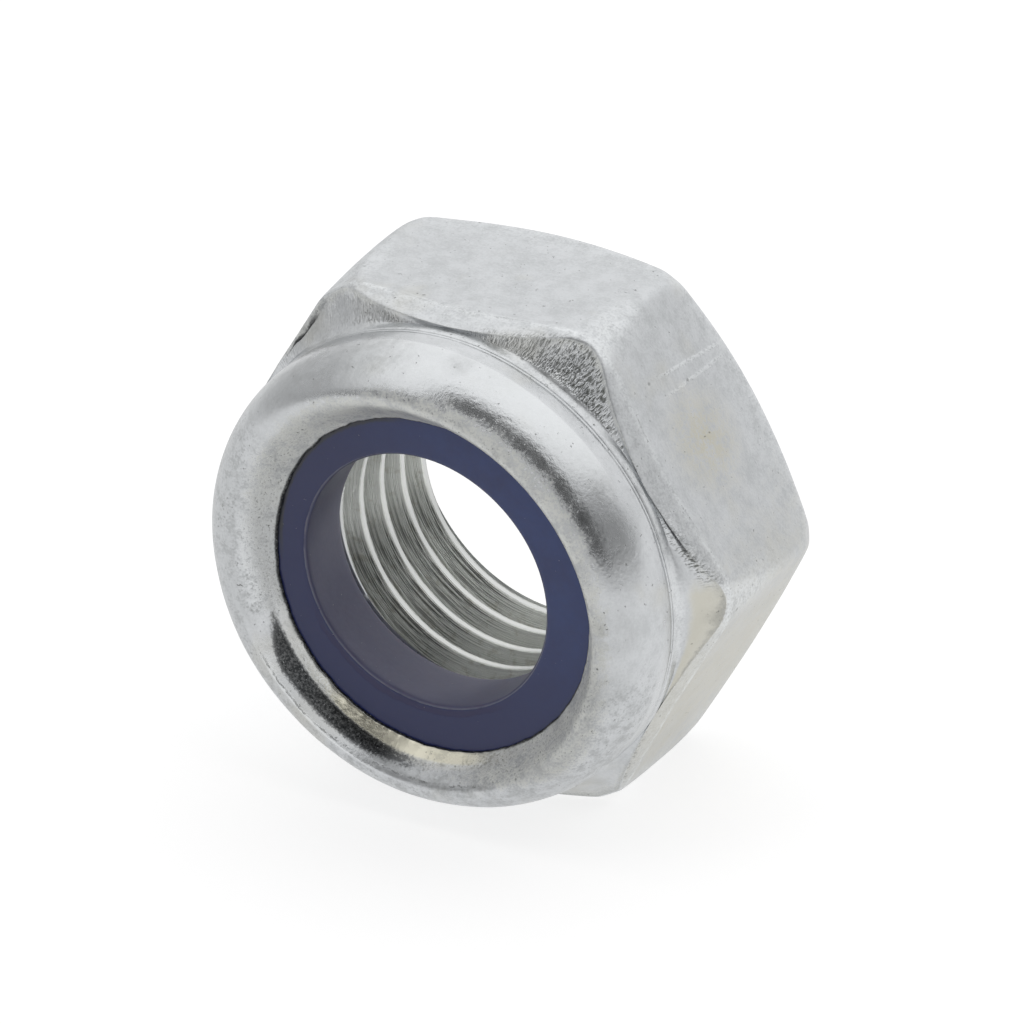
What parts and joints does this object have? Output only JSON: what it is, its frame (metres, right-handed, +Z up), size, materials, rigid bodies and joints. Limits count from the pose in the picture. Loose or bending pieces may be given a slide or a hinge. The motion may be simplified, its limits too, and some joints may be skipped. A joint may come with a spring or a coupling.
{
  "type": "nylon insert lock nut",
  "caption": "Hexagon lock nut in zinc-plated steel, its rolled collar holding a dark nylon ring above a right-hand metric thread.",
  "frame": {"origin": "centre of the nut's footprint, on the hexagon flat it lies on", "axes": "+Z up from that flat, +Y along the bore towards the bearing face, -Y towards the nylon ring, +X across two corners"},
  "size_m": [0.0528, 0.0284, 0.046],
  "materials": {
    "zinc_steel": "dull zinc plating over cold-formed steel",
    "nylon": "satin, slightly translucent"
  },
  "bodies": {
    "root": {"nut_body": "zinc_steel", "nylon_ring": "nylon"}
  },
  "joints": []
}
